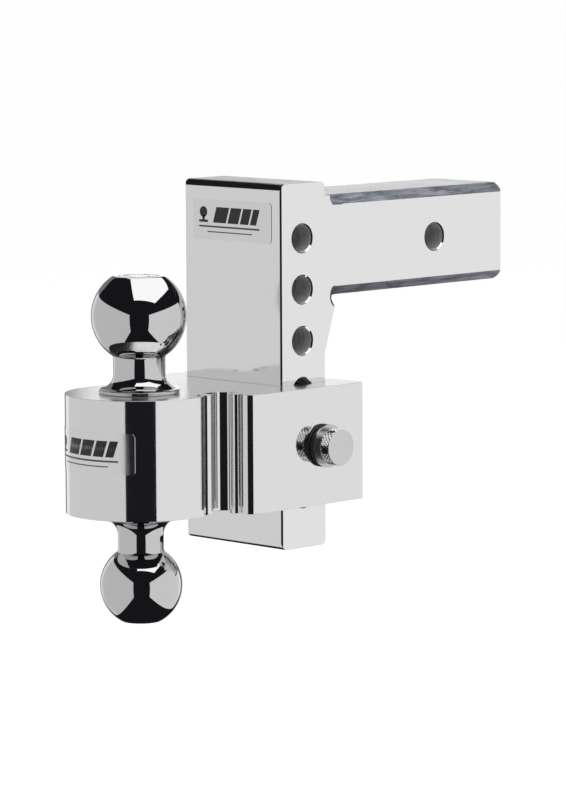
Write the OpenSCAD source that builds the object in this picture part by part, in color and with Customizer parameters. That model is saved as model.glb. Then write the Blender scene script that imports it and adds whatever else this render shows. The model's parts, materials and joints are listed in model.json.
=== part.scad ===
// Adjustable two-ball trailer hitch with a locking adjustment pin.
// Millimetres. +X runs along the shank towards the vehicle, +Z is up, and the lock is on the -Y side.
// The origin is the centre of the hitch-pin bore in the shank.

/* [Drop frame] */
// Width and height of the square shank
shank_size = 63.5; // [62.5:0.25:64]
// Chamfer along the four long edges of the shank
shank_chamfer = 6; // [4:0.5:7]
// Distance from the hitch-pin bore to the free end of the shank
shank_end = 65; // [50:1:80]
// Distance from the hitch-pin bore to the front face of the column
column_reach = 151; // [145:1:220]
// Depth of the column, along X
column_depth = 39.6; // [38:0.2:42]
// Width of the column, along Y
column_width = 85.8; // [84:0.2:90]
// Height of the column
column_height = 228.6; // [226:0.2:236]
// How far the column stands above the shank's top face
column_rise = 10; // [6:1:14]
// Radius of the rounded ends of the column
column_round = 4.8; // [3:0.2:6]
// Vertical distance between the adjustment holes
hole_pitch = 32; // [31.5:0.1:32.5]
// Number of adjustment holes
hole_count = 6; // [5:1:6]
// Which adjustment hole the pin is in, counted from the top
pin_hole = 5; // [1:1:5]
// Distance from the column's front face to the holes
hole_inset = 18.8; // [18:0.2:20.4]
// Diameter of the pin holes
pin_bore_d = 16.7; // [16.5:0.1:17]

/* [Ball head] */
// Radius of the round boss that carries the balls
boss_r = 46; // [44:0.5:48]
// Distance from the boss axis to the column's front face
boss_reach = 80.2; // [80:0.1:81]
// Height of the head
head_height = 73.6; // [70:0.2:76]
// Thickness of the cheek on each side of the column
cheek = 18.6; // [17:0.2:19.4]
// Thickness of the lips that wrap round behind the column
lip_depth = 14.2; // [10:0.2:16]
// Radius of the rounded front corners of the head
shoulder_round = 8.6; // [8:0.1:9]

/* [Balls] */
// Diameter of the upper ball
upper_ball_d = 58.74; // [57:0.1:60]
// Height of the upper ball's centre above the head
upper_ball_lift = 47.2; // [46:0.2:50]
// Diameter of the flat on top of the upper ball
upper_flat_d = 31.8; // [26:0.2:34]
// Diameter of the lower ball
lower_ball_d = 50.8; // [50:0.1:52]
// Depth of the lower ball's centre below the head
lower_ball_drop = 45.8; // [44:0.2:48]
// Diameter of the flat under the lower ball
lower_flat_d = 23; // [18:0.5:25]
// Diameter of the stud that joins the two balls
stud_d = 19.05; // [18:0.05:20]

/* [Locking pin] */
// Diameter of the pin
pin_d = 15.88; // [15.8:0.02:16]
// Diameter of the flange on the pin's head
flange_d = 26.8; // [25:0.2:30]
// Diameter of the knurled dust cap
cap_d = 23.2; // [22.6:0.1:25]
// Diameter of the two balls that lock the pin
lock_ball_d = 6; // [5.8:0.1:6]
// How far the balls move out when the key is turned
lock_ball_travel = 1.5; // [1.4:0.05:1.6]
// Diameter of the turning key cylinder
plug_d = 8; // [7.8:0.1:8.2]
// Number of wafers in the key cylinder
wafer_count = 5; // [3:1:6]

/* [Labels] */
// Length of a label
label_length = 69.85; // [50:0.05:72]
// Height of a label
label_height = 25.4; // [20:0.1:30]

/* [Hidden] */
$fn = 96;
eps = 0.01;
over = 1;

// Column and shank
half_shank = shank_size / 2;
column_x = -column_reach;
column_back = column_x + column_depth;
column_top = half_shank + column_rise;
column_bottom = column_top - column_height;
column_edge = 1;
first_hole_z = column_top - (column_height - (hole_count - 1) * hole_pitch) / 2;
bore_chamfer = 1.1;
web_proud = 0.25;
web_width = shank_size + 2 * web_proud;
skim_r = 40;
skim_drop = 4;
skim_x = column_x + 53.5;
gusset_top_x = column_x + 61;
gusset_end_z = -99;
gusset_fillet = 6;
chamfer_start = column_x + 54.5;
chamfer_cut_over = 0.6;
shank_end_round = 3;

// Head
head_z = first_hole_z - (pin_hole - 1) * hole_pitch;
head_top = head_z + head_height / 2;
head_bottom = head_z - head_height / 2;
boss_x = column_x - boss_reach;
slot_gap = 0.35;
slot_half = column_width / 2 + slot_gap;
head_half = slot_half + cheek;
head_rear = column_back + slot_gap + lip_depth;
web_clearance = 0.5;
lip_gap = web_width / 2 + web_clearance;
lip_round = 2.5;
shoulder_x = column_x - 46;
neck_half = 35.9;
scallop_r = [7.5, 11.7];
scallop_at = [[-61.5, 42.3], [-51.2, 44]];
rib_r = [4.2, 4.6];
rib_at = [[-60.6, 38.2], [-42.9, 46.5]];
rear_round = 2.5;
block_overlap = 20;
stud_hole_gap = 0.4;
counterbore_gap = 0.5;

// Balls
spigot_r = 15.9;
spigot_length = 14;
spigot_gap = 0.06;
stud_gap = 0.06;
tap_depth = 44;
thread_runout = 2;
flange_r = 24.8;
upper_neck_r = 16.1;
upper_flange_t = 2.8;
upper_flare_r = 8.7;
lower_neck_r = 14.1;
lower_flange_t = 4;
lower_flare_r = 10.8;
rim_chamfer = 0.6;

// Locking pin: every station is a distance from the head's near face, growing towards +Y
pin_x = column_x + hole_inset;
pin_face = -head_half;
head_span = 2 * head_half;
seal_d = 3;
seal_clear = 0.1;
run_fit = 0.05;
pin_flange_t = 1;
collar_t = 3;
stub_length = 5.4;
flange_back = -(seal_d + seal_clear + run_fit);
flange_front = flange_back - pin_flange_t;
collar_front = flange_front - collar_t;
stub_front = collar_front - stub_length;
cap_front = stub_front - 1.7;
shoulder_back = -0.6;
collar_r = 11;
stub_r = 9;
seal_step_r = flange_d / 2 - seal_d - seal_clear;
sleeve_r = 5.5;
sleeve_end = 7;
core_bore_end = 9.2;
plug_front = stub_front + 0.3;
plug_end = 7.25;
tail_r = 2;
clip_t = 0.6;
tail_collar_r = 2.6;
tail_collar_from = plug_end + clip_t + 0.1;
tail_collar_t = 0.8;
clip_r = plug_d / 2 + 0.6;
clip_opening = 2.4;
screw_end = 22;
spindle_r = 3.2;
spindle_bore_r = spindle_r + run_fit;
spindle_start = 10.2;
spindle_socket_end = 24.5;
spindle_travel = 4;
neck_r = spindle_r - lock_ball_travel;
lock_ball_r = lock_ball_d / 2;
lock_ball_s = head_span + lock_ball_r + 0.3;
lock_ball_rest = pin_d / 2 - lock_ball_r - 0.08;
lock_ball_fit = 0.05;
ramp_angle = atan(lock_ball_travel / spindle_travel);
ramp_gap = 0.07;
ramp_start = lock_ball_s - (lock_ball_r + ramp_gap - (lock_ball_rest - spindle_r) * cos(ramp_angle))
    / sin(ramp_angle);
spindle_end = ramp_start + spindle_travel + 5;
bore_end = spindle_end + spindle_travel + 1.5;
pin_end_wall = 3;
pin_end = bore_end + pin_end_wall;
nose = 3;
nose_in = 0.7 * nose;

// Dust cap
cap_gap = 0.15;
cap_edge = 0.7;
cap_wall = 1.3;
cap_seal_section = 1.3;
seal_groove_gap = 0.1;
cap_seal_s = collar_front - 1.5;
cap_seal_r = stub_r + run_fit + cap_seal_section / 2;

// Key cylinder
keyway = [1.7, 5.4];
keyway_depth = 13;
wafer_t = 0.8;
wafer_pitch = 2.3;
wafer_width = 4.6;
wafer_window = [2.3, 3.6];
wafer_slot_gap = 0.05;
groove_gap = 0.2;
groove_depth = 0.9;
first_wafer = plug_front + 3;
spring_wire_r = 0.13;
spring_r = 0.4;
spring_turns = 4;
spring_rise = 2.4;
spring_x = pin_x + wafer_width / 2 + 0.15;
spring_steps = 9 * spring_turns;
pocket_r = spring_r + spring_wire_r + 0.08;
pocket_height = 3;
wafer_notch_r = pocket_r + 0.04;
wafer_notch_height = 3.2;
wafer_clearance = 0.1;

// Labels
label_t = 0.25;
label_round = 2.6;
boss_label_z = head_z + 4.3;
column_label_z = column_top - 24.6;

// ---- helpers -------------------------------------------------------------------------------

// Rectangle from one corner to the opposite one, with rounded corners
module round_rect(low, high, r) {
    union() {
        translate([low[0] + r, low[1]]) square([high[0] - low[0] - 2 * r, high[1] - low[1]]);
        translate([low[0], low[1] + r]) square([high[0] - low[0], high[1] - low[1] - 2 * r]);
        for (x = [low[0] + r, high[0] - r], y = [low[1] + r, high[1] - r])
            translate([x, y]) circle(r);
    }
}

// Plate across the width, drawn as an outline in X and Z
module across(width) {
    rotate([90, 0, 0]) linear_extrude(width, center = true) children();
}

// Hole along Y with a chamfered mouth on both sides
module cross_hole(x, z, d, width) {
    translate([x, 0, z]) rotate([90, 0, 0]) {
        cylinder(h = width + 2 * over, d = d, center = true);
        for (side = [0, 1]) mirror([0, 0, side])
            translate([0, 0, width / 2 - bore_chamfer])
                cylinder(h = bore_chamfer + over, r1 = d / 2, r2 = d / 2 + bore_chamfer + over);
    }
}

// Solid of revolution on the pin's axis, drawn as radius and station
module on_pin() {
    translate([pin_x, pin_face, head_z]) rotate([-90, 0, 0]) rotate_extrude() children();
}

// One step of a turned part, from one station to the next
module step(r, from, to) {
    translate([0, from]) square([r, to - from]);
}

module ring(r_in, r_out, from, to) {
    translate([r_in, from]) square([r_out - r_in, to - from]);
}

// ---- drop frame ----------------------------------------------------------------------------

module column_blank() {
    intersection() {
        across(column_width)
            round_rect([column_x, column_bottom], [column_back, column_top], column_round);
        translate([0, 0, column_bottom - over]) linear_extrude(column_height + 2 * over)
            column_plan();
    }
}

// Column seen from above, with its four upright edges broken
module column_plan() {
    e = column_edge;
    half = column_width / 2;
    polygon([
        [column_x + e, -half], [column_back - e, -half], [column_back, -half + e],
        [column_back, half - e], [column_back - e, half], [column_x + e, half],
        [column_x, half - e], [column_x, -half + e]
    ]);
}

// Shank and the gusset under it, as a side view
module shank_outline() {
    inside = column_x + column_depth / 2;
    slope = atan2(gusset_top_x - column_back, -half_shank - gusset_end_z);
    fillet_x = gusset_top_x + gusset_fillet * (1 - sin(slope)) / cos(slope);
    fillet_z = -half_shank - gusset_fillet;
    union() {
        round_rect([inside, -half_shank], [shank_end, half_shank], shank_end_round);
        difference() {
            polygon([
                [inside, -half_shank + over], [fillet_x, -half_shank + over],
                [fillet_x, -half_shank],
                [fillet_x - gusset_fillet * cos(slope), fillet_z + gusset_fillet * sin(slope)],
                [column_back, gusset_end_z], [inside, gusset_end_z]
            ]);
            translate([fillet_x, fillet_z]) circle(gusset_fillet);
        }
    }
}

// Shank seen from above, with rounded end corners
module shank_plan() {
    inside = column_x + column_depth / 2;
    round_rect([inside, -web_width / 2], [shank_end, web_width / 2], shank_end_round);
}

// Skimmed receiver fit on one side of the shank, with the cutter's round run-out
module side_skim() {
    length = shank_end - skim_x;
    translate([0, -half_shank, 0]) rotate([90, 0, 0]) linear_extrude(web_proud + over) union() {
        translate([skim_x + skim_r, -skim_drop]) circle(skim_r);
        translate([skim_x + skim_r, -skim_r - skim_drop]) square([length, 2 * (skim_r + skim_drop)]);
    }
}

// Chamfer along one long edge of the shank, with a round start
module edge_chamfer() {
    face_half = shank_chamfer * sqrt(2) / 2 + chamfer_cut_over;
    length = shank_end - chamfer_start + over;
    inset = half_shank - shank_chamfer / 2;
    translate([chamfer_start, -inset, inset]) rotate([45, 0, 0])
        linear_extrude(2 * shank_chamfer) union() {
            translate([face_half, 0]) circle(face_half);
            translate([face_half, -face_half]) square([length, 2 * face_half]);
        }
}

module drop_frame() {
    color("silver") difference() {
        union() {
            column_blank();
            intersection() {
                across(web_width) shank_outline();
                translate([0, 0, gusset_end_z - over])
                    linear_extrude(half_shank - gusset_end_z + 2 * over) shank_plan();
            }
        }
        for (side = [0, 1]) mirror([0, side, 0]) {
            side_skim();
            for (level = [0, 1]) mirror([0, 0, level]) edge_chamfer();
        }
        cross_hole(0, 0, pin_bore_d, shank_size);
        for (i = [0 : hole_count - 1])
            cross_hole(column_x + hole_inset, first_hole_z - i * hole_pitch, pin_bore_d, column_width);
    }
}

// ---- ball head -----------------------------------------------------------------------------

// Outer outline of the head: boss, neck, ribs and scallops, and the block round the column
module head_outline() {
    difference() {
        union() {
            translate([boss_x, 0]) circle(boss_r);
            translate([boss_x, -neck_half]) square([boss_reach - block_overlap, 2 * neck_half]);
            head_block();
        }
        for (side = [-1, 1], i = [0, 1])
            translate([column_x + scallop_at[i][0], side * scallop_at[i][1]]) circle(scallop_r[i]);
    }
    for (side = [-1, 1], i = [0, 1])
        translate([column_x + rib_at[i][0], side * rib_at[i][1]]) circle(rib_r[i]);
}

// Rectangular block round the column, with larger rounds in front than behind
module head_block() {
    r = shoulder_round;
    round_rect([shoulder_x, -head_half], [column_x + block_overlap, head_half], r);
    round_rect([column_x - block_overlap, -head_half], [head_rear, head_half], rear_round);
}

// Space inside the head: the column slides in it, and the shank's web passes between the lips
module head_slot() {
    translate([column_x - slot_gap, -slot_half])
        square([column_depth + 2 * slot_gap, 2 * slot_half]);
    translate([column_back, -lip_gap]) square([lip_depth + 2 * over, 2 * lip_gap]);
    for (side = [-1, 1]) translate([head_rear - lip_round, side * (lip_gap + lip_round)])
        difference() {
            translate([0, side < 0 ? 0 : -lip_round - eps]) square([lip_round + over, lip_round + eps]);
            circle(lip_round);
        }
}

module ball_head() {
    color("gainsboro") difference() {
        translate([0, 0, head_bottom]) linear_extrude(head_height) difference() {
            head_outline();
            head_slot();
        }
        cross_hole(pin_x, head_z, pin_bore_d, 2 * head_half);
        translate([boss_x, 0, head_bottom - over])
            cylinder(h = head_height + 2 * over, r = stud_d / 2 + stud_hole_gap);
        for (level = [head_bottom - over, head_top - spigot_length - counterbore_gap])
            translate([boss_x, 0, level])
                cylinder(h = spigot_length + counterbore_gap + over, r = spigot_r + spigot_gap);
    }
}

// ---- balls ---------------------------------------------------------------------------------

// Half section of a ball, its neck, flare, flange and spigot; the flange face is at height 0
module ball_section(r, lift, flat_r, neck, flare, flange_t) {
    flat_z = lift + sqrt(r * r - flat_r * flat_r);
    difference() {
        union() {
            intersection() {
                translate([0, lift]) circle(r);
                translate([0, lift - r]) square([r + over, flat_z - lift + r]);
            }
            square([neck, lift]);
            difference() {
                square([flange_r, flange_t + flare]);
                translate([neck + flare, flange_t + flare]) circle(flare);
                translate([neck + flare, flange_t]) square([flange_r, flare + over]);
                translate([flange_r - rim_chamfer, 0]) flange_rim_cut();
            }
            translate([0, -spigot_length]) square([spigot_r, spigot_length + over]);
        }
        translate([-2 * r, -2 * r]) square([2 * r, 6 * r]);
        translate([0, -spigot_length - over]) square([stud_d / 2 + stud_gap, tap_depth + over]);
    }
}

// Corner taken off the seat edge of a flange
module flange_rim_cut() {
    far = rim_chamfer + over;
    polygon([[0, 0], [far, -far], [far, far]]);
}

module upper_ball() {
    color("dimgray") translate([boss_x, 0, head_top]) rotate_extrude()
        ball_section(upper_ball_d / 2, upper_ball_lift, upper_flat_d / 2,
            upper_neck_r, upper_flare_r, upper_flange_t);
}

module lower_ball() {
    color("dimgray") translate([boss_x, 0, head_bottom]) mirror([0, 0, 1]) rotate_extrude()
        ball_section(lower_ball_d / 2, lower_ball_drop, lower_flat_d / 2,
            lower_neck_r, lower_flare_r, lower_flange_t);
}

// Double-ended stud; its threads are drawn at their outer diameter
module ball_stud() {
    reach = tap_depth - spigot_length - thread_runout;
    color("slategray") translate([boss_x, 0, head_bottom - reach])
        cylinder(h = head_height + 2 * reach, d = stud_d);
}

// ---- locking pin ---------------------------------------------------------------------------

module pin_body() {
    color("lightgray") difference() {
        on_pin() difference() {
            union() {
                step(stub_r, stub_front, collar_front);
                step(collar_r, collar_front, flange_front);
                step(flange_d / 2, flange_front, flange_back);
                step(seal_step_r, flange_back, shoulder_back);
                step(pin_d / 2, shoulder_back, pin_end - nose);
                polygon([
                    [0, pin_end - nose], [pin_d / 2, pin_end - nose],
                    [pin_d / 2 - nose_in, pin_end], [0, pin_end]
                ]);
            }
            step(sleeve_r + run_fit, stub_front - over, core_bore_end);
            step(spindle_bore_r, core_bore_end - eps, bore_end);
        }
        translate([pin_x, pin_face + lock_ball_s, head_z])
            cylinder(h = pin_d + 2 * over, r = lock_ball_r + lock_ball_fit, center = true);
    }
}

module pin_seal() {
    color("#202020") on_pin()
        translate([flange_d / 2 - seal_d / 2, -seal_clear - seal_d / 2]) circle(seal_d / 2, $fn = 48);
}

module core_sleeve() {
    color("goldenrod") difference() {
        on_pin() ring(plug_d / 2 + run_fit, sleeve_r, stub_front, sleeve_end);
        wafer_grooves();
    }
}

// Two slots down the sleeve, which the wafers drop into when the key is out
module wafer_grooves() {
    length = (wafer_count - 1) * wafer_pitch + 3 * wafer_t;
    translate([pin_x, pin_face + first_wafer - wafer_t, head_z])
        translate([-wafer_width / 2 - groove_gap, 0, -plug_d / 2 - groove_depth])
            cube([wafer_width + 2 * groove_gap, length, plug_d + 2 * groove_depth]);
}

module key_cylinder() {
    color("khaki") difference() {
        on_pin() union() {
            step(plug_d / 2, plug_front, plug_end);
            step(tail_r, plug_end - eps, screw_end);
            step(tail_collar_r, tail_collar_from, tail_collar_from + tail_collar_t);
        }
        translate([pin_x - keyway[0] / 2, pin_face + plug_front - over, head_z - keyway[1] / 2])
            cube([keyway[0], keyway_depth + over, keyway[1]]);
        for (i = [0 : wafer_count - 1]) wafer_space(i, wafer_slot_gap, plug_d + over);
        for (i = [0 : wafer_count - 1]) spring_pocket(i);
    }
}

// Middle of one wafer along the pin
function wafer_y(i) = pin_face + first_wafer + i * wafer_pitch + wafer_t / 2;

// Block that one wafer fills, widened by a gap
module wafer_space(i, gap, height) {
    translate([pin_x, wafer_y(i), head_z])
        cube([wafer_width + 2 * gap, wafer_t + 2 * gap, height], center = true);
}

// Pocket beside a wafer for its spring
module spring_pocket(i) {
    translate([spring_x, wafer_y(i), head_z])
        cylinder(h = pocket_height, r = pocket_r, center = true, $fn = 24);
}

module wafer_tumblers() {
    height = sqrt(pow(plug_d, 2) - pow(wafer_width, 2)) - wafer_clearance;
    color("peru") for (i = [0 : wafer_count - 1]) difference() {
        wafer_space(i, 0, height);
        translate([pin_x, wafer_y(i), head_z])
            cube([wafer_window[0], wafer_t + over, wafer_window[1]], center = true);
        translate([spring_x, wafer_y(i), head_z])
            cylinder(h = wafer_notch_height, r = wafer_notch_r, center = true, $fn = 24);
    }
}

// A small coil spring beside each wafer, swept along a helix
module wafer_spring() {
    sides = 5;
    steps = spring_steps;
    points = [for (i = [0 : steps], j = [0 : sides - 1])
        let (a = 360 * spring_turns * i / steps, b = 360 * j / sides)
        let (rho = spring_r + spring_wire_r * cos(b))
        [rho * cos(a), rho * sin(a), spring_rise * i / steps + spring_wire_r * sin(b)]];
    walls = [for (i = [0 : steps - 1], j = [0 : sides - 1], half = [0, 1])
        let (k = (j + 1) % sides, low = i * sides, high = (i + 1) * sides)
        half == 0 ? [low + j, high + j, high + k] : [low + j, high + k, low + k]];
    foot = [for (j = [0 : sides - 1]) j];
    head = [for (j = [sides - 1 : -1 : 0]) steps * sides + j];
    polyhedron(points, concat([foot], walls, [head]));
}

module wafer_springs() {
    color("white") for (i = [0 : wafer_count - 1])
        translate([spring_x, wafer_y(i), head_z - spring_rise / 2]) wafer_spring();
}

// Split ring that holds the key cylinder in its sleeve
module cylinder_clip() {
    color("gray") difference() {
        on_pin() ring(tail_r + run_fit, clip_r, plug_end + run_fit, plug_end + clip_t);
        translate([pin_x - clip_opening / 2, pin_face + plug_end - over, head_z])
            cube([clip_opening, clip_t + 2 * over, plug_d]);
    }
}

// Sliding rod: a socket that rides on the drive screw, a ramp, and a thin neck under the balls
module locking_spindle() {
    color("darkgray") on_pin() difference() {
        union() {
            step(spindle_r, spindle_start, ramp_start);
            polygon([
                [0, ramp_start - eps], [spindle_r, ramp_start - eps], [spindle_r, ramp_start],
                [neck_r, ramp_start + spindle_travel], [0, ramp_start + spindle_travel]
            ]);
            step(neck_r, ramp_start + spindle_travel - eps, spindle_end);
        }
        step(tail_r + run_fit, spindle_start - over, spindle_socket_end);
    }
}

module locking_ball(side) {
    color("gainsboro")
        translate([pin_x, pin_face + lock_ball_s, head_z + side * lock_ball_rest])
            sphere(lock_ball_r, $fn = 48);
}

module locking_ball_top() {
    locking_ball(1);
}

module locking_ball_bottom() {
    locking_ball(-1);
}

module dust_cap() {
    back = collar_front - cap_gap;
    color("lightgray") on_pin() difference() {
        polygon([
            [0, cap_front], [cap_d / 2 - cap_edge, cap_front], [cap_d / 2, cap_front + cap_edge],
            [cap_d / 2, back - cap_edge / 2], [cap_d / 2 - cap_edge / 2, back], [0, back]
        ]);
        step(stub_r + run_fit, cap_front + cap_wall, collar_front);
        ring(stub_r - over, cap_seal_r + cap_seal_section / 2 + seal_groove_gap,
            cap_seal_s - cap_seal_section / 2 - seal_groove_gap,
            cap_seal_s + cap_seal_section / 2 + seal_groove_gap);
    }
}

module cap_seal() {
    color("#202020") on_pin() translate([cap_seal_r, cap_seal_s])
        circle(cap_seal_section / 2, $fn = 32);
}

// ---- labels --------------------------------------------------------------------------------

module column_label() {
    color("whitesmoke") translate([column_x, 0, column_label_z]) rotate([90, 0, -90])
        linear_extrude(label_t)
            round_rect([-label_length / 2, -label_height / 2], [label_length / 2, label_height / 2],
                label_round);
}

// Label wrapped round the front of the boss
module boss_label() {
    half_angle = label_length / boss_r / PI * 90;
    reach = boss_r * sin(half_angle);
    color("whitesmoke") intersection() {
        translate([boss_x, 0, boss_label_z - label_height / 2]) difference() {
            cylinder(h = label_height, r = boss_r + label_t, $fn = 180);
            translate([0, 0, -over]) cylinder(h = label_height + 2 * over, r = boss_r, $fn = 180);
        }
        translate([boss_x, 0, boss_label_z]) rotate([90, 0, -90]) linear_extrude(boss_r + over)
            round_rect([-reach, -label_height / 2], [reach, label_height / 2], label_round);
    }
}

drop_frame();
ball_head();
upper_ball();
lower_ball();
ball_stud();
pin_body();
pin_seal();
core_sleeve();
key_cylinder();
wafer_tumblers();
wafer_springs();
cylinder_clip();
locking_spindle();
locking_ball_top();
locking_ball_bottom();
dust_cap();
cap_seal();
column_label();
boss_label();
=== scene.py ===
"""Looks of the two-ball trailer hitch: polished aluminium, chrome balls, a knurled cap and two labels.

Everything is in metres in the frame of the CAD: +X towards the vehicle, +Z up, lock on the -Y side.
"""

import json
import math

import bmesh
import bpy
from mathutils import Matrix, Vector

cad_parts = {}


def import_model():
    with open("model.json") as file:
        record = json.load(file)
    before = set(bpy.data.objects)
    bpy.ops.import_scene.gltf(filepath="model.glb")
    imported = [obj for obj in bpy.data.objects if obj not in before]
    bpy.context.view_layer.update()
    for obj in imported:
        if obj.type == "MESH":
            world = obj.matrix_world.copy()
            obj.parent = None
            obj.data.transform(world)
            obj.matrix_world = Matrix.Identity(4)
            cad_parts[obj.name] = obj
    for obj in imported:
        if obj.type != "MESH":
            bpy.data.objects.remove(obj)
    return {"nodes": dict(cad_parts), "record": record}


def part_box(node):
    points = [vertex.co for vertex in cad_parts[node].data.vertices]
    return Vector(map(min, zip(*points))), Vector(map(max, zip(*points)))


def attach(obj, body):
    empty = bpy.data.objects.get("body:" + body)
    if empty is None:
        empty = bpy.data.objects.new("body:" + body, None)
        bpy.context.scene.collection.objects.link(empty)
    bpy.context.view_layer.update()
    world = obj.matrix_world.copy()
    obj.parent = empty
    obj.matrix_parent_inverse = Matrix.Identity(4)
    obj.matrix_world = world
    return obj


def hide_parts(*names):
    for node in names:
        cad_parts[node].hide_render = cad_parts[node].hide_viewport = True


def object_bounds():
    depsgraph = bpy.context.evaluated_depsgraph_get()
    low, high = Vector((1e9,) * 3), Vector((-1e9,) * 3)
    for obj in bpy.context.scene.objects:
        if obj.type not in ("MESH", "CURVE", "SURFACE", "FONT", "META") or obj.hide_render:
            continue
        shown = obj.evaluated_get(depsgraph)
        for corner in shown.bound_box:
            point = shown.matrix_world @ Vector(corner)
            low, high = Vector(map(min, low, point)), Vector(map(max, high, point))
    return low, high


MM = 0.001

# Camera
CAMERA_AZIMUTH = math.radians(-44.91)
CAMERA_ELEVATION = math.radians(6.91)
CAMERA_ROLL = math.radians(0.27)
CAMERA_AIM = Vector((-140.5, -33.7, -93.7)) * MM
CAMERA_DISTANCE = 2.578
CAMERA_LENS = 186.0

# Studio: lights are placed from the object's middle, along the camera's right, towards it, and up
PANEL_GAP = 0.6
PANEL_TOWARD = 0.25
PANEL_DROP = 0.30
PANEL_LENGTH, PANEL_HEIGHT = 2.47, 1.1
PANEL_RADIANCE = {-1: 0.70, 1: 0.88}
TOP_RIGHT, TOP_BEHIND, TOP_ABOVE = 0.33, 0.05, 0.95
TOP_WIDTH, TOP_LENGTH, TOP_RADIANCE = 1.25, 2.2, 1.5
BACK_BEHIND, BACK_ABOVE = 1.4, 0.17
GLOW_WIDTH, GLOW_HEIGHT, GLOW_RADIANCE = 0.4, 0.5, 0.9
BACKDROP_GAP = 0.1
BACKDROP_WIDTH, BACKDROP_HEIGHT, BACKDROP_RADIANCE = 3.0, 1.8, 0.22
AMBIENT = (0.012, 0.012, 0.015, 1)
WHITE = (1, 1, 1, 1)
FLOOR_SIZE = 60.0
FLOOR_DROP = 0.4 * MM
FLOOR_GLOW = 0.99

# Edges
FRAME_EDGE = 0.5 * MM
HEAD_EDGE = 0.9 * MM
SMALL_EDGE = 0.25 * MM
SHARP_ANGLE = math.radians(28)

# Drop frame
SHANK_TOP = 31.75 * MM
BORE_R = 8.35 * MM
HOLE_INSET = 18.8 * MM
HOLE_PITCH = 32 * MM
HOLE_COUNT = 6
FIRST_HOLE = 34.3 * MM

# Tow balls: heights run from the seat on the head towards the ball
FLANGE_R = 24.8 * MM
FLANGE_EDGE = 0.6 * MM
SPIGOT_R = 15.9 * MM
SPIGOT_LENGTH = 14 * MM
FLAT_EDGE = 0.9 * MM
BALL_SIDES = 192
UPPER_BALL = dict(ball_r=29.37 * MM, lift=47.2 * MM, flat_r=15.9 * MM,
                  neck_r=16.1 * MM, flare_r=8.7 * MM, flange_t=2.8 * MM)
LOWER_BALL = dict(ball_r=25.4 * MM, lift=45.8 * MM, flat_r=11.5 * MM,
                  neck_r=14.1 * MM, flare_r=10.8 * MM, flange_t=4 * MM)

# Stamped marks on a ball's flat: rings as fractions of the flat's radius, and how deep some are cut
STAMP_RINGS = [0.80, 0.775, 0.75, 0.70, 0.66, 0.62, 0.58, 0.54, 0.50, 0.44, 0.42, 0.40]
STAMP_GROOVES = {0.775: 0.35 * MM, 0.42: 0.3 * MM}
STAMP_BAND = (0.52, 0.68)
STAMP_MARKS = 28
STAMP_FILL = 0.55
STAMP_DEPTH = 0.3 * MM

# Dust cap
CAP_EDGE = 0.5 * MM
CAP_MOUTH_EDGE = 0.4 * MM
CAP_BORE_R = 9.05 * MM
CAP_WALL = 1.3 * MM
CAP_DISH_R = 8.6 * MM
CAP_DISH_RIM_R = 9.0 * MM
CAP_DISH_DEPTH = 0.15 * MM
KNURL_DEPTH = 0.7 * MM
KNURL_TEETH = 30
KNURL_STEPS = 10

# Labels
PRINT_LIFT = 0.03 * MM
PRINT_COLUMNS = 28
BAR_LOW, BAR_HIGH, BAR_SLANT = -1.9, 8.0, 3.2
BARS = [(-17, 11.5), (-4, 9.5), (7, 7.5), (16, 5.5)]

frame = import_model()
cad_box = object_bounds()


# ---- materials -----------------------------------------------------------------------------


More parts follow.
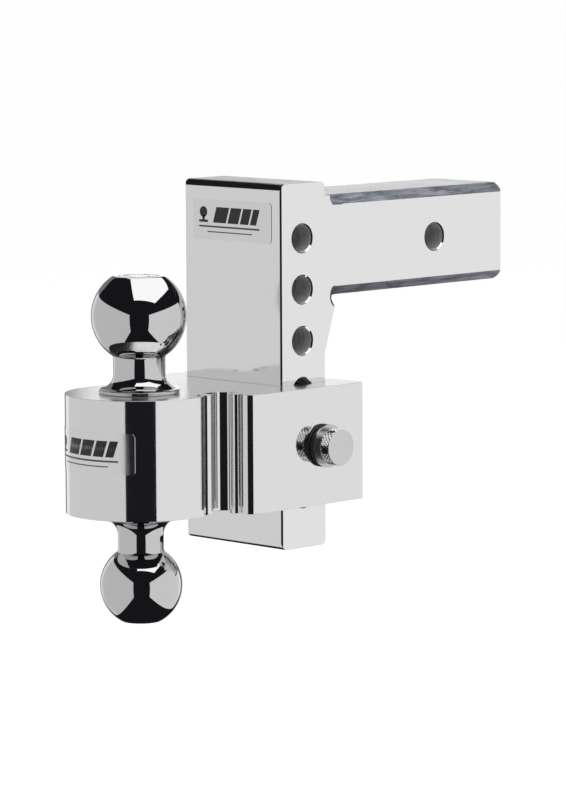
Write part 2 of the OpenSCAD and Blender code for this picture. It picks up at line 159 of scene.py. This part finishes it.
class Nodes:
    """A material's node tree, with short ways to add and join nodes."""

    def __init__(self, name):
        self.material = bpy.data.materials.new(name)
        self.material.use_nodes = True
        self.tree = self.material.node_tree
        self.shader = self.tree.nodes["Principled BSDF"]
        self.place = self.add("ShaderNodeTexCoord").outputs["Object"]

    def add(self, kind, **settings):
        made = self.tree.nodes.new(kind)
        for key, value in settings.items():
            setattr(made, key, value)
        return made

    def join(self, source, target):
        self.tree.links.new(source, target)

    def put(self, target, value):
        """Sets a socket to a value, or joins it to another socket."""
        if isinstance(value, bpy.types.NodeSocket):
            self.join(value, target)
        else:
            target.default_value = value

    def noise(self, scale, detail=3.0, stretch=(1, 1, 1), roughness=0.5):
        """Noise in the object's own space; scale counts features per metre along each axis."""
        mapping = self.add("ShaderNodeMapping")
        mapping.inputs["Scale"].default_value = stretch
        self.join(self.place, mapping.inputs["Vector"])
        made = self.add("ShaderNodeTexNoise")
        made.inputs["Scale"].default_value = scale
        made.inputs["Detail"].default_value = detail
        made.inputs["Roughness"].default_value = roughness
        self.join(mapping.outputs["Vector"], made.inputs["Vector"])
        return made.outputs["Fac"]

    def ranged(self, value, low, high, to_low, to_high):
        made = self.add("ShaderNodeMapRange")
        self.join(value, made.inputs["Value"])
        limits = {"From Min": low, "From Max": high, "To Min": to_low, "To Max": to_high}
        for name, number in limits.items():
            self.put(made.inputs[name], number)
        return made.outputs["Result"]

    def math(self, operation, a, b=0.0):
        made = self.add("ShaderNodeMath", operation=operation)
        self.put(made.inputs[0], a)
        self.put(made.inputs[1], b)
        return made.outputs["Value"]

    def mixed(self, factor, a, b):
        made = self.add("ShaderNodeMix", data_type="RGBA")
        self.put(made.inputs["Factor"], factor)
        self.put(made.inputs["A"], a)
        self.put(made.inputs["B"], b)
        return made.outputs["Result"]

    def facing(self, axis):
        """How squarely the surface faces an axis of the object, from -1 to 1."""
        normal = self.add("ShaderNodeTexCoord").outputs["Normal"]
        parts = self.add("ShaderNodeSeparateXYZ")
        self.join(normal, parts.inputs["Vector"])
        return parts.outputs["XYZ".index(axis)]

    def band(self, value, low, high):
        """1 where the value is between low and high, else 0."""
        above, below = self.math("GREATER_THAN", value, low), self.math("LESS_THAN", value, high)
        return self.math("MULTIPLY", above, below)

    def coordinate(self, axis):
        parts = self.add("ShaderNodeSeparateXYZ")
        self.join(self.place, parts.inputs["Vector"])
        return parts.outputs["XYZ".index(axis)]

    def inside_bores(self, bores):
        """1 close to the wall of any of the holes along Y, given as (x, z, radius), else 0."""
        along_x, along_z = self.coordinate("X"), self.coordinate("Z")
        total = None
        for x, z, radius in bores:
            dx = self.math("SUBTRACT", along_x, x)
            dz = self.math("SUBTRACT", along_z, z)
            apart = self.math("ADD", self.math("MULTIPLY", dx, dx), self.math("MULTIPLY", dz, dz))
            near = self.math("LESS_THAN", apart, (radius * 1.02)**2)
            total = near if total is None else self.math("ADD", total, near)
        return total

    def bump(self, height, distance, strength=1.0):
        made = self.add("ShaderNodeBump")
        made.inputs["Strength"].default_value = strength
        made.inputs["Distance"].default_value = distance
        self.join(height, made.inputs["Height"])
        self.join(made.outputs["Normal"], self.shader.inputs["Normal"])


def grey(value, warm=0.0):
    return (value * (1 + warm), value, value * (1 - warm), 1.0)


def machined_aluminium(name, tone, rough, grain, painted_top_tone, bores=(), chamfer=0.0, shaded_sawn_end_above=0.0):
    """Polished aluminium with fine grain along one direction and a duller finish on its top faces, which
    carry a painted tone of their own: lighter than the sides is painted light, darker is painted shade.

    bores are (x, z, radius) of holes along Y, which keep the drill's rings; chamfer is how dull the
    faces at 45 degrees are, which are also painted dark as a painted reflection; top faces higher than
    shaded_sawn_end_above are a saw-cut end, painted dark as painted shade.
    """
    n = Nodes(name)
    streaks = n.noise(1.0, 4.0, grain, 0.6)
    clouds = n.noise(38.0, 2.0)
    blotches = n.noise(160.0, 4.0, (0.35, 1, 2.5), 0.65)
    specks = n.noise(1900.0, 2.0)
    # Faces turned up get a speckled saw-cut texture in a painted tone of their own: painted light when
    # lighter than the sides, painted shade when darker.
    upward = n.ranged(n.facing("Z"), 0.985, 0.998, 0.0, 1.0)
    polished = n.mixed(n.ranged(streaks, 0.3, 0.7, 0.0, 1.0), grey(tone * 0.985, 0.004), grey(tone, 0.004))
    sawn_and_painted_top = n.mixed(n.ranged(specks, 0.42, 0.62, 0.0, 1.0), grey(painted_top_tone * 0.6), grey(painted_top_tone))
    if shaded_sawn_end_above:
        # The top end is painted shade, darker still, over the speckled saw-cut texture.
        end = n.mixed(n.ranged(specks, 0.42, 0.62, 0.0, 1.0), grey(0.14), grey(0.38))
        sawn_and_painted_top = n.mixed(n.math("GREATER_THAN", n.coordinate("Z"), shaded_sawn_end_above), sawn_and_painted_top, end)
    colour = n.mixed(upward, polished, sawn_and_painted_top)
    even = n.math("ADD", n.ranged(streaks, 0.25, 0.75, rough * 0.7, rough * 1.3),
                  n.ranged(clouds, 0.3, 0.7, -0.01, 0.01))
    roughness = n.math("ADD", even, n.math("MULTIPLY", upward, 0.16))
    height = n.math("ADD", streaks, n.math("MULTIPLY", n.math("MULTIPLY", specks, upward), 4.0))
    if chamfer:
        # Chamfers at 45 degrees get a painted dark reflection, mottled, and a rougher finish.
        slanted = n.band(n.math("ABSOLUTE", n.facing("Z")), 0.66, 0.75)
        mottle = n.ranged(blotches, 0.35, 0.65, 0.0, 1.0)
        mottled_chamfer_shade = n.mixed(mottle, (0.07, 0.075, 0.09, 1), (0.26, 0.27, 0.31, 1))
        colour = n.mixed(slanted, colour, mottled_chamfer_shade)
        roughness = n.math("ADD", roughness, n.math("MULTIPLY", slanted, chamfer))
    if bores:
        inside = n.inside_bores(bores)
        rings = n.noise(1.0, 3.0, (60, 2600, 60), 0.6)
        drilled = n.mixed(n.ranged(rings, 0.3, 0.7, 0.0, 1.0), grey(0.45), grey(0.9))
        colour = n.mixed(inside, colour, drilled)
        roughness = n.math("ADD", roughness, n.math("MULTIPLY", inside, 0.38))
        n.join(n.ranged(inside, 0.0, 1.0, 1.0, 0.35), n.shader.inputs["Metallic"])
    else:
        n.shader.inputs["Metallic"].default_value = 1.0
    n.join(colour, n.shader.inputs["Base Color"])
    n.join(roughness, n.shader.inputs["Roughness"])
    n.bump(height, 0.006 * MM, 0.12)
    return n.material


def chrome(name, tone, rough):
    """Bright plating with faint polishing swirls and haze."""
    n = Nodes(name)
    haze = n.noise(60.0, 3.0)
    swirl = n.noise(900.0, 2.0, (1, 1, 0.15))
    n.join(n.mixed(haze, grey(tone * 0.95), grey(tone * 1.04)), n.shader.inputs["Base Color"])
    n.shader.inputs["Metallic"].default_value = 1.0
    n.join(n.ranged(haze, 0.3, 0.7, rough * 0.6, rough * 1.6), n.shader.inputs["Roughness"])
    n.bump(swirl, 0.004 * MM, 0.2)
    return n.material


def turned_metal(name, colour, rough, along):
    """Turned or ground metal with fine rings across its axis."""
    n = Nodes(name)
    stretch = [60.0, 60.0, 60.0]
    stretch["XYZ".index(along)] = 5200.0
    rings = n.noise(1.0, 3.0, stretch, 0.6)
    dark = tuple(c * 0.8 for c in colour[:3]) + (1.0,)
    n.join(n.mixed(rings, dark, colour), n.shader.inputs["Base Color"])
    n.shader.inputs["Metallic"].default_value = 1.0
    n.join(n.ranged(rings, 0.3, 0.7, rough * 0.7, rough * 1.3), n.shader.inputs["Roughness"])
    n.bump(rings, 0.01 * MM, 0.4)
    return n.material


def rubber(name):
    """Matt black rubber with a fine moulded skin."""
    n = Nodes(name)
    skin = n.noise(2600.0, 4.0)
    n.join(n.mixed(skin, grey(0.012), grey(0.03)), n.shader.inputs["Base Color"])
    n.join(n.ranged(skin, 0.3, 0.7, 0.42, 0.6), n.shader.inputs["Roughness"])
    n.bump(skin, 0.03 * MM, 0.5)
    return n.material


def label_film(name):
    """Satin metal-look film with a faint grain."""
    n = Nodes(name)
    grain = n.noise(1.0, 3.0, (900, 900, 90))
    n.join(n.mixed(grain, grey(0.76), grey(0.80)), n.shader.inputs["Base Color"])
    n.shader.inputs["Metallic"].default_value = 1.0
    n.join(n.ranged(grain, 0.3, 0.7, 0.13, 0.19), n.shader.inputs["Roughness"])
    n.bump(grain, 0.01 * MM, 0.3)
    return n.material


def ink(name, tone):
    """Printed ink, slightly uneven."""
    n = Nodes(name)
    cover = n.noise(1500.0, 3.0)
    n.join(n.mixed(cover, grey(tone), grey(tone * 1.5 + 0.004)), n.shader.inputs["Base Color"])
    n.join(n.ranged(cover, 0.3, 0.7, 0.35, 0.5), n.shader.inputs["Roughness"])
    n.bump(cover, 0.005 * MM, 0.2)
    return n.material


def frame_bores():
    """The drop frame's holes along Y as (x, z, radius): the hitch-pin bore and the adjustment holes."""
    low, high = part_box("drop_frame")
    x = low.x + HOLE_INSET
    levels = [high.z - FIRST_HOLE - i * HOLE_PITCH for i in range(HOLE_COUNT)]
    return [(0.0, 0.0, BORE_R)] + [(x, z, BORE_R) for z in levels]


MATERIALS = {
    # Frame: top faces painted darker than the sides as painted shade, the column's top end darker still;
    # 45-degree chamfers painted dark.
    "frame_aluminium": machined_aluminium(
        "frame_aluminium", 0.84, 0.07, (35, 35, 2600), 0.55, frame_bores(), chamfer=0.25,
        shaded_sawn_end_above=SHANK_TOP + 2 * MM),
    # Head: top faces painted lighter than the sides, painted light from the softbox above.
    "head_aluminium": machined_aluminium("head_aluminium", 0.79, 0.06, (2600, 2600, 35), 0.95),
    "ball_chrome": chrome("ball_chrome", 0.62, 0.03),
    "stud_steel": turned_metal("stud_steel", grey(0.3), 0.35, "Z"),
    "pin_steel": turned_metal("pin_steel", grey(0.62), 0.22, "Y"),
    "seal_rubber": rubber("seal_rubber"),
    "core_brass": turned_metal("core_brass", (0.68, 0.49, 0.22, 1), 0.3, "Y"),
    "plug_nickel": turned_metal("plug_nickel", (0.66, 0.61, 0.5, 1), 0.25, "Y"),
    "wafer_brass": turned_metal("wafer_brass", (0.72, 0.53, 0.26, 1), 0.3, "X"),
    "spring_steel": turned_metal("spring_steel", grey(0.55), 0.25, "Z"),
    "spindle_steel": turned_metal("spindle_steel", grey(0.5), 0.25, "Y"),
    "lock_ball_steel": chrome("lock_ball_steel", 0.66, 0.06),
    "cap_chrome": chrome("cap_chrome", 0.64, 0.07),
    "label_film": label_film("label_film"),
}
LABEL_INK = ink("label_ink", 0.012)
SOFT_INK = ink("soft_ink", 0.09)


# ---- pieces --------------------------------------------------------------------------------

SLOTS = {row["node"]: row["material_slot"] for row in frame["record"]["subparts"]}
BODIES = frame["record"]["behaviour"]["bodies"]
BODY_OF = {node: body for body, members in BODIES.items() for node in members}


def settle(piece, node, material=None):
    """Gives a piece a CAD node's body and slot, and the slot's material unless another is named."""
    slot = SLOTS[node]
    piece.data.materials.clear()
    piece.data.materials.append(material or MATERIALS[slot])
    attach(piece, BODY_OF[node])


def new_piece(name, mesh):
    piece = bpy.data.objects.new(name, mesh)
    bpy.context.scene.collection.objects.link(piece)
    return piece


def smooth(mesh):
    """Smooth shading, with edges kept sharp above SHARP_ANGLE."""
    for face in mesh.polygons:
        face.use_smooth = True
    mesh.set_sharp_from_angle(angle=SHARP_ANGLE)


def refined(node, edge):
    """A copy of a CAD node with clean flat faces and small rounded edges, which stands for it."""
    bm = bmesh.new()
    bm.from_mesh(frame["nodes"][node].data)
    bmesh.ops.remove_doubles(bm, verts=bm.verts, dist=0.001 * MM)
    bmesh.ops.dissolve_limit(bm, angle_limit=math.radians(0.3), verts=bm.verts, edges=bm.edges)
    mesh = bpy.data.meshes.new(node + "_shell")
    bm.to_mesh(mesh)
    bm.free()
    smooth(mesh)
    piece = new_piece(node + "_shell", mesh)
    if edge:
        bevel = piece.modifiers.new("edge", "BEVEL")
        bevel.width = edge
        bevel.segments = 3
        bevel.limit_method = "ANGLE"
        bevel.angle_limit = SHARP_ANGLE
    weighted = piece.modifiers.new("flat_normals", "WEIGHTED_NORMAL")
    weighted.mode = "FACE_AREA"
    weighted.weight = 100
    weighted.keep_sharp = True
    settle(piece, node)
    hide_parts(node)


def lathe(name, profile, centre, axis, sides, shape=None):
    """Closed solid of revolution. profile is (radius, height) from one end of the axis to the other;
    shape(radius, height, turn, row) may lift a point off the plain surface."""
    up = Vector(axis)
    across = up.orthogonal().normalized()
    other = up.cross(across)
    bm = bmesh.new()
    rows = []
    for row, (radius, height) in enumerate(profile):
        if radius == 0:
            rows.append([bm.verts.new(Vector(centre) + up * height)] * sides)
            continue
        ring = []
        for i in range(sides):
            turn = i / sides
            r, h = shape(radius, height, turn, row) if shape else (radius, height)
            a = turn * math.tau
            outward = across * math.cos(a) + other * math.sin(a)
            ring.append(bm.verts.new(Vector(centre) + outward * r + up * h))
        rows.append(ring)
    for low, high in zip(rows, rows[1:]):
        for i in range(sides):
            k = (i + 1) % sides
            corners = [low[i], low[k], high[k], high[i]]
            bm.faces.new([v for j, v in enumerate(corners) if v not in corners[:j]])
    bmesh.ops.recalc_face_normals(bm, faces=bm.faces)
    mesh = bpy.data.meshes.new(name)
    bm.to_mesh(mesh)
    bm.free()
    smooth(mesh)
    return new_piece(name, mesh)


def arc(centre, radius, start, end, steps):
    """Points on an arc in the (radius, height) plane, angles in degrees."""
    turns = [math.radians(start + (end - start) * i / steps) for i in range(steps + 1)]
    return [(centre[0] + radius * math.cos(t), centre[1] + radius * math.sin(t)) for t in turns]


def tow_ball(node, flip, ball_r, lift, flat_r, neck_r, flare_r, flange_t):
    """Tow ball with neck, flare and flange; flip hangs it below the head."""
    low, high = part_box(node)
    flat_z = lift + math.sqrt(ball_r**2 - flat_r**2)
    neck_meet = lift - math.sqrt(ball_r**2 - neck_r**2)
    crown = math.degrees(math.acos(flat_r / ball_r))
    under = -math.degrees(math.acos(neck_r / ball_r))
    profile = [(0, -SPIGOT_LENGTH), (SPIGOT_R, -SPIGOT_LENGTH), (SPIGOT_R, 0)]
    profile += [(FLANGE_R - FLANGE_EDGE, 0), (FLANGE_R, FLANGE_EDGE)]
    profile += [(FLANGE_R, flange_t - FLANGE_EDGE), (FLANGE_R - FLANGE_EDGE, flange_t)]
    profile += arc((neck_r + flare_r, flange_t + flare_r), flare_r, 270, 180, 24)
    profile += [(neck_r, neck_meet - FLAT_EDGE)]
    profile += arc((0, lift), ball_r, under + 1.2, crown - 1.0, 96)
    profile += [(flat_r - FLAT_EDGE, flat_z)]
    stamped = len(profile)
    profile += [(flat_r * ring, flat_z - STAMP_GROOVES.get(ring, 0)) for ring in STAMP_RINGS]
    profile.append((0, flat_z))
    inner, outer = STAMP_BAND
    marked_rows = {stamped + i for i, ring in enumerate(STAMP_RINGS) if inner < ring < outer}

    def stamp(radius, height, turn, row):
        if row in marked_rows and (turn * STAMP_MARKS) % 1 < STAMP_FILL:
            height -= STAMP_DEPTH
        return radius, height

    seat_z = high.z - SPIGOT_LENGTH if flip else low.z + SPIGOT_LENGTH
    centre = ((low.x + high.x) / 2, (low.y + high.y) / 2, seat_z)
    piece = lathe(node + "_body", profile, centre, (0, 0, -1 if flip else 1), BALL_SIDES, stamp)
    settle(piece, node)
    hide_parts(node)


refined("drop_frame", FRAME_EDGE)
refined("ball_head", HEAD_EDGE)
tow_ball("upper_ball", False, **UPPER_BALL)
tow_ball("lower_ball", True, **LOWER_BALL)
refined("ball_stud", SMALL_EDGE)
refined("pin_body", SMALL_EDGE)
for inner in ("pin_seal", "core_sleeve", "key_cylinder", "wafer_tumblers", "cylinder_clip", "locking_spindle",
              "locking_ball_top", "locking_ball_bottom", "cap_seal", "wafer_springs"):
    refined(inner, 0)


def dust_cap():
    """Knurled cap: diamond knurl on the side, a plain dished face and a bored inside."""
    low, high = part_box("dust_cap")
    centre = ((low.x + high.x) / 2, low.y, (low.z + high.z) / 2)
    outer = (high.x - low.x) / 2
    length = high.y - low.y
    pitch = math.tau * outer / KNURL_TEETH
    rows = int((length - 2 * CAP_EDGE) / pitch * KNURL_STEPS)
    face = [(0, CAP_DISH_DEPTH), (CAP_DISH_R, CAP_DISH_DEPTH), (CAP_DISH_RIM_R, 0), (outer - CAP_EDGE, 0)]
    side = [(outer, CAP_EDGE + pitch * i / KNURL_STEPS) for i in range(rows + 1)]
    inside = [(outer - CAP_MOUTH_EDGE, length), (CAP_BORE_R, length), (CAP_BORE_R, CAP_WALL), (0, CAP_WALL)]
    first, last = len(face), len(face) + rows

    def knurl(radius, height, turn, row):
        if first <= row <= last:
            around, along = turn * KNURL_TEETH, (height - CAP_EDGE) / pitch
            ridge = max(abs(((around + along) % 1) - 0.5), abs(((around - along) % 1) - 0.5)) * 2
            radius -= KNURL_DEPTH * ridge
        return radius, height

    sides = KNURL_TEETH * KNURL_STEPS
    piece = lathe("dust_cap_body", face + side + inside, centre, (0, 1, 0), sides, knurl)
    for polygon in piece.data.polygons:
        middle = polygon.center
        from_axis = math.hypot(middle.x - centre[0], middle.z - centre[2])
        if from_axis > outer - KNURL_DEPTH:
            polygon.use_smooth = False
    settle(piece, "dust_cap")
    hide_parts("dust_cap")


dust_cap()


# ---- labels --------------------------------------------------------------------------------


def bar(left, right, low, high, slant=0.0):
    """Slanted bar as a row of quads, so that it can bend round the boss."""
    quads = []
    for i in range(PRINT_COLUMNS):
        near = left + (right - left) * i / PRINT_COLUMNS
        far = left + (right - left) * (i + 1) / PRINT_COLUMNS
        quads.append([(near, low), (far, low), (far + slant, high), (near + slant, high)])
    return quads


def disc(x, y, r):
    """Filled circle as thin upright slices, whose ends stay just open."""
    gap = 1e-4
    quads = []
    for i in range(PRINT_COLUMNS):
        near = -r + 2 * r * i / PRINT_COLUMNS
        far = -r + 2 * r * (i + 1) / PRINT_COLUMNS
        near_h = math.sqrt(max(r * r - near * near, 0)) + gap
        far_h = math.sqrt(max(r * r - far * far, 0)) + gap
        lower = [(x + near, y - near_h), (x + far, y - far_h)]
        quads.append(lower + [(x + far, y + far_h), (x + near, y + near_h)])
    return quads


def print_sheet(name, node, shapes, onto, material):
    """Flat printed shapes laid on a label; shapes are quads in label millimetres."""
    bm = bmesh.new()
    for quad in shapes:
        bm.faces.new([bm.verts.new(onto(u * MM, v * MM)) for u, v in quad])
    bmesh.ops.remove_doubles(bm, verts=bm.verts, dist=0.002 * MM)
    bmesh.ops.recalc_face_normals(bm, faces=bm.faces)
    mesh = bpy.data.meshes.new(name)
    bm.to_mesh(mesh)
    bm.free()
    piece = new_piece(name, mesh)
    settle(piece, node, material=material)
    return piece


def pictogram():
    """Tow ball on its stem beside four slanted bars: the bold part of the print."""
    shapes = disc(-25.5, 4.6, 3.4)
    shapes += bar(-26.6, -24.4, -0.4, 2.4)
    shapes += bar(-29.5, -21.5, BAR_LOW, -0.4)
    for start, width in BARS:
        shapes += bar(start, start + width, BAR_LOW, BAR_HIGH, BAR_SLANT)
    return shapes


def rules():
    """Thin lines under the pictogram."""
    return bar(-29.5, 24.5, -5.0, -3.9) + bar(-22, 18, -8.1, -7.4)


def flat_label():
    """Maps a place on the column's label, right and up from its middle, to a point just above it."""
    low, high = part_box("column_label")
    x, z = low.x - PRINT_LIFT, (low.z + high.z) / 2
    return lambda u, v: Vector((x, -u, z + v))


def wrapped_label():
    """The same for the boss label, which bends round the axis of the balls."""
    low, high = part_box("boss_label")
    ball_low, ball_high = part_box("upper_ball")
    axis_x = (ball_low.x + ball_high.x) / 2
    r = axis_x - low.x + PRINT_LIFT
    z = (low.z + high.z) / 2
    return lambda u, v: Vector((axis_x - r * math.cos(u / r), -r * math.sin(u / r), z + v))


refined("column_label", 0)
refined("boss_label", 0)
for node, onto in (("column_label", flat_label()), ("boss_label", wrapped_label())):
    print_sheet(node + "_print", node, pictogram(), onto, LABEL_INK)
    print_sheet(node + "_rules", node, rules(), onto, SOFT_INK)


# ---- studio --------------------------------------------------------------------------------


def turned_to(azimuth, elevation=0.0):
    """Direction from the object towards something at that azimuth and elevation, in radians."""
    return Vector((math.sin(azimuth) * math.cos(elevation), -math.cos(azimuth) * math.cos(elevation),
                   math.sin(elevation)))


def area_light(name, centre, facing, across, width, height, radiance):
    """Rectangular softbox that shines along facing, its width along across, unseen by the camera."""
    data = bpy.data.lights.new(name, "AREA")
    data.shape = "RECTANGLE"
    data.size, data.size_y = width, height
    data.energy = radiance * math.pi * width * height
    lamp = bpy.data.objects.new(name, data)
    bpy.context.scene.collection.objects.link(lamp)
    place = Matrix((across, facing.cross(across), -facing)).transposed().to_4x4()
    place.translation = centre
    lamp.matrix_world = place
    lamp.visible_camera = False
    return lamp


def studio():
    """Two long panels beside the view, a softbox above and a pale backdrop behind."""
    toward = turned_to(CAMERA_AZIMUTH)
    right = Vector((math.cos(CAMERA_AZIMUTH), math.sin(CAMERA_AZIMUTH), 0))
    middle = (cad_box[0] + cad_box[1]) / 2
    up = Vector((0, 0, 1))
    for name, side in (("panel_left", -1), ("panel_right", 1)):
        centre = middle + right * side * PANEL_GAP + toward * PANEL_TOWARD - up * PANEL_DROP
        area_light(name, centre, right * -side, toward, PANEL_LENGTH, PANEL_HEIGHT, PANEL_RADIANCE[side])
    top = middle + right * TOP_RIGHT - toward * TOP_BEHIND + up * TOP_ABOVE
    area_light("softbox_top", top, -up, right, TOP_WIDTH, TOP_LENGTH, TOP_RADIANCE)
    back = middle - toward * BACK_BEHIND + up * BACK_ABOVE
    area_light("backdrop_glow", back, toward, right, GLOW_WIDTH, GLOW_HEIGHT, GLOW_RADIANCE)
    behind = back - toward * BACKDROP_GAP
    area_light("backdrop", behind, toward, right, BACKDROP_WIDTH, BACKDROP_HEIGHT, BACKDROP_RADIANCE)


def world():
    """White to the camera, almost black to everything else."""
    made = bpy.data.worlds.new("studio")
    bpy.context.scene.world = made
    made.use_nodes = True
    nodes, links = made.node_tree.nodes, made.node_tree.links
    nodes.clear()
    out = nodes.new("ShaderNodeOutputWorld")
    seen = nodes.new("ShaderNodeBackground")
    seen.inputs["Color"].default_value = WHITE
    ambient = nodes.new("ShaderNodeBackground")
    ambient.inputs["Color"].default_value = AMBIENT
    path = nodes.new("ShaderNodeLightPath")
    mix = nodes.new("ShaderNodeMixShader")
    links.new(path.outputs["Is Camera Ray"], mix.inputs["Fac"])
    links.new(ambient.outputs["Background"], mix.inputs[1])
    links.new(seen.outputs["Background"], mix.inputs[2])
    links.new(mix.outputs["Shader"], out.inputs["Surface"])


def floor():
    """Plain pale floor that only the camera sees."""
    bm = bmesh.new()
    bmesh.ops.create_grid(bm, x_segments=4, y_segments=4, size=FLOOR_SIZE / 2)
    mesh = bpy.data.meshes.new("floor")
    bm.to_mesh(mesh)
    bm.free()
    piece = new_piece("floor", mesh)
    piece.location = (0, 0, cad_box[0].z - FLOOR_DROP)
    made = Nodes("floor_white")
    made.shader.inputs["Base Color"].default_value = (0.12, 0.12, 0.12, 1)
    made.shader.inputs["Roughness"].default_value = 1.0
    made.shader.inputs["Specular IOR Level"].default_value = 0.0
    made.shader.inputs["Emission Color"].default_value = WHITE
    made.shader.inputs["Emission Strength"].default_value = FLOOR_GLOW
    mesh.materials.append(made.material)
    piece.visible_glossy = False
    piece.visible_shadow = False
    piece.visible_diffuse = False


def camera():
    data = bpy.data.cameras.new("camera")
    data.lens = CAMERA_LENS
    data.sensor_width = 36.0
    data.clip_end = 200.0
    made = bpy.data.objects.new("camera", data)
    bpy.context.scene.collection.objects.link(made)
    back = turned_to(CAMERA_AZIMUTH, CAMERA_ELEVATION)
    right = Vector((math.cos(CAMERA_AZIMUTH), math.sin(CAMERA_AZIMUTH), 0))
    up = back.cross(right)
    tilt_right = right * math.cos(CAMERA_ROLL) - up * math.sin(CAMERA_ROLL)
    tilt_up = right * math.sin(CAMERA_ROLL) + up * math.cos(CAMERA_ROLL)
    place = Matrix((tilt_right, tilt_up, back)).transposed().to_4x4()
    place.translation = CAMERA_AIM + back * CAMERA_DISTANCE
    made.matrix_world = place
    bpy.context.scene.camera = made


studio()
world()
floor()
camera()
bpy.context.scene.view_settings.view_transform = "Standard"
